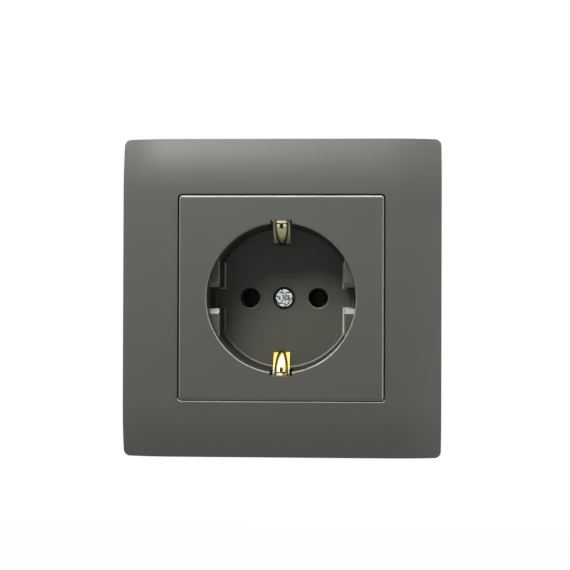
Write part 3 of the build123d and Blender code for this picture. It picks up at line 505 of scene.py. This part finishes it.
def cutRecess(bm, recess, top, turn):
    # marks the recess on the head's top with planes, then sinks the faces inside it
    outlines = [(recess["slot"], turn)]
    if recess["cross"]:
        outlines += [(recess["cross"], turn + 45), (recess["cross"], turn + 135)]
    for (width, length), angle in outlines:
        for span, lean in ((width, 0), (length, 90)):
            normal = Vector((cos(radians(angle + lean)), sin(radians(angle + lean)), 0))
            for hand in (1, -1):
                markPlane(bm, normal * hand * span / 2 * mm, normal)

    def inside(point):
        for (width, length), angle in outlines:
            across = point.x * cos(radians(angle)) + point.y * sin(radians(angle))
            along = point.y * cos(radians(angle)) - point.x * sin(radians(angle))
            if abs(across) < width / 2 * mm and abs(along) < length / 2 * mm:
                return True
        return False

    sunk = [f for f in bm.faces if f.normal.z > 0.3        # the top and its rim, not the side
            and f.calc_center_median().z > top * headSet["topShare"] and inside(f.calc_center_median())]
    for v in liftFaces(bm, sunk):
        v.co.z = top - recess["depth"] * mm


def threadedShank(radius, length):
    # a rod whose rings are moved in and out along a helix
    pitch = threadSet["pitch"] * mm
    bm = bmesh.new()
    bmesh.ops.create_cone(bm, cap_ends=True, segments=threadSet["sides"], radius1=radius, radius2=radius,
                          depth=length)
    bmesh.ops.translate(bm, verts=bm.verts, vec=(0, 0, -length / 2))
    sideEdges = [e for e in bm.edges if abs(e.verts[0].co.z - e.verts[1].co.z) > length / 2]
    rings = round(length / pitch * threadSet["stepsPerTurn"])
    bmesh.ops.subdivide_edges(bm, edges=sideEdges, cuts=rings - 1, use_grid_fill=True)
    for v in bm.verts:
        turns = v.co.z / pitch - atan2(v.co.y, v.co.x) / (2 * pi)
        crest = 1 - abs(2 * (turns % 1) - 1)
        scale = (radius - (1 - crest) * threadSet["depth"] * mm) / hypot(v.co.x, v.co.y)
        v.co.x *= scale
        v.co.y *= scale
    return bm


def makeScrew(node, look):
    low, high = [Vector(corner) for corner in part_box(node)]
    centre = (low + high) / 2
    headHeight = look["headHeight"] * mm
    radius = look["head"] / 2 * mm
    bm = bmesh.new()
    head = bmesh.ops.create_cone(bm, cap_ends=True, segments=headSet["sides"], radius1=radius, radius2=radius,
                                 depth=headHeight)["verts"]
    bmesh.ops.translate(bm, verts=head, vec=(0, 0, headHeight / 2))
    rim = [e for e in bm.edges if all(abs(v.co.z - headHeight) < 1e-7 for v in e.verts)]
    bmesh.ops.bevel(bm, geom=rim, offset=headSet["rimBevel"] * mm, affect="EDGES",
                    segments=headSet["rimSteps"], profile=0.5, material=-1)
    cutRecess(bm, look["recess"], headHeight, look["turn"])
    # for each way to face: where the head's underside lies, its turn from upright and the whole length
    lays = {
        "front": ((centre.x, low.y + headHeight, centre.z), 90, high.y - low.y),
        "up": ((centre.x, centre.y, high.z - headHeight), 0, high.z - low.z),
        "down": ((centre.x, centre.y, low.z + headHeight), 180, high.z - low.z),
    }
    seat, turn, wholeLength = lays[look["facing"]]
    joinInto(bm, threadedShank(look["shank"] / 2 * mm, wholeLength - headHeight))
    lay = Matrix.Translation(seat) @ Matrix.Rotation(radians(turn), 4, "X")
    bmesh.ops.transform(bm, verts=bm.verts, matrix=lay)
    finishPiece(bm, node + "Turned", look.get("finish", zincScrew), look["body"], node)


for node, look in screwSet.items():
    makeScrew(node, look)
print("screws turned:", len(screwSet))

# The photo's view: the camera stands a little to the right of the socket's axis
cameraSet = {
    "place": (22.5 * mm, -420 * mm, -0.6 * mm), "clip": 10 * mm,
    "yaw": 2.99, "pitch": 0.57, "roll": -0.18, "lens": 96.82, "sensor": 36,
}


def placeCamera(look):
    data = bpy.data.cameras.new("photoCamera")
    data.lens = look["lens"]
    data.sensor_width = look["sensor"]
    data.clip_start = look["clip"]
    camera = bpy.data.objects.new("photoCamera", data)
    sceneObjects.link(camera)
    turn = (Matrix.Rotation(radians(look["yaw"]), 4, "Z") @ Matrix.Rotation(radians(look["pitch"]), 4, "X")
            @ Matrix.Rotation(radians(look["roll"]), 4, "Y") @ Matrix.Rotation(radians(90), 4, "X"))
    camera.matrix_world = Matrix.Translation(look["place"]) @ turn
    bpy.context.scene.camera = camera


placeCamera(cameraSet)

# A near soft box high on the left, two strips overhead, fills from the right and the left, and two soft boxes
# behind. Turn and rise are degrees round the socket and above it, away and size are metres, power is watts.
lampSet = {
    "softBox": {"turn": -22, "rise": 44, "away": 0.30, "size": (0.13, 0.10), "power": 0.80},
    "topStrip": {"turn": -20, "rise": 80, "away": 0.26, "size": (0.20, 0.05), "power": 0.86},
    "overhead": {"turn": 0, "rise": 86, "away": 0.24, "size": (0.24, 0.06), "power": 0.12},
    "rightFill": {"turn": 84, "rise": -4, "away": 0.40, "size": (0.10, 0.20), "power": 1.05},
    "leftFill": {"turn": -80, "rise": 10, "away": 0.40, "size": (0.10, 0.20), "power": 0.30},
    "backLeft": {"turn": -140, "rise": 35, "away": 0.50, "size": (0.25, 0.25), "power": 2.2},
    "backRight": {"turn": 145, "rise": 20, "away": 0.50, "size": (0.25, 0.25), "power": 1.6},
}


def placeLamp(name, look):
    data = bpy.data.lights.new(name, "AREA")
    data.shape = "RECTANGLE"
    data.size, data.size_y = look["size"]
    data.energy = look["power"]
    lamp = bpy.data.objects.new(name, data)
    sceneObjects.link(lamp)
    turn, rise = radians(look["turn"]), radians(look["rise"])
    place = look["away"] * Vector((sin(turn) * cos(rise), -cos(turn) * cos(rise), sin(rise)))
    lamp.matrix_world = Matrix.Translation(place) @ (-place).to_track_quat("-Z", "Y").to_matrix().to_4x4()


for name, look in lampSet.items():
    placeLamp(name, look)


def seenDirectly(tree):
    # 1 for what the camera sees straight, mirrored or through glass
    path = addNode(tree, "ShaderNodeLightPath").outputs
    seen = path["Is Camera Ray"]
    for ray in ("Is Glossy Ray", "Is Transmission Ray"):
        seen = addNode(tree, "ShaderNodeMath", {0: seen, 1: path[ray]}, operation="MAXIMUM").outputs[0]
    return seen


# A pale room that gives a little light and is white where it is seen
roomSet = {"hex": "F2F2EE", "strength": 0.05}


def lightRoom(look):
    world = bpy.data.worlds.new("paleRoom")
    bpy.context.scene.world = world
    world.use_nodes = True
    tree = world.node_tree
    tree.nodes.clear()
    room = addNode(tree, "ShaderNodeBackground", {"Color": linear(look["hex"]), "Strength": look["strength"]})
    white = addNode(tree, "ShaderNodeBackground", {"Color": linear("FFFFFF"), "Strength": 1.0})
    seen = seenDirectly(tree)
    mix = addNode(tree, "ShaderNodeMixShader", {0: seen, 1: room.outputs[0], 2: white.outputs[0]})
    addNode(tree, "ShaderNodeOutputWorld", {"Surface": mix.outputs[0]})


lightRoom(roomSet)

# A pale floor well below the socket, nearly white where it is seen, so that it still takes a shadow; metres
floorSet = {"height": -0.30, "half": 1.6, "hex": "EEEEEC", "white": 0.98}


def layFloor(look):
    bpy.ops.mesh.primitive_plane_add(size=2 * look["half"], location=(0, 0, look["height"]))
    floor = bpy.context.object
    floor.name = "paleFloor"
    material, tree = newMaterial("paleFloor")
    matt = addNode(tree, "ShaderNodeBsdfDiffuse", {"Color": linear(look["hex"])})
    white = addNode(tree, "ShaderNodeEmission", {"Color": linear("FFFFFF"), "Strength": 1.0})
    share = addNode(tree, "ShaderNodeMath", {0: seenDirectly(tree), 1: look["white"]}, operation="MULTIPLY")
    mix = addNode(tree, "ShaderNodeMixShader", {0: share.outputs[0], 1: matt.outputs[0], 2: white.outputs[0]})
    addNode(tree, "ShaderNodeOutputMaterial", {"Surface": mix.outputs[0]})
    floor.data.materials.append(material)


layFloor(floorSet)
bpy.context.scene.view_settings.view_transform = "Standard"
print("camera, lamps and floor placed")
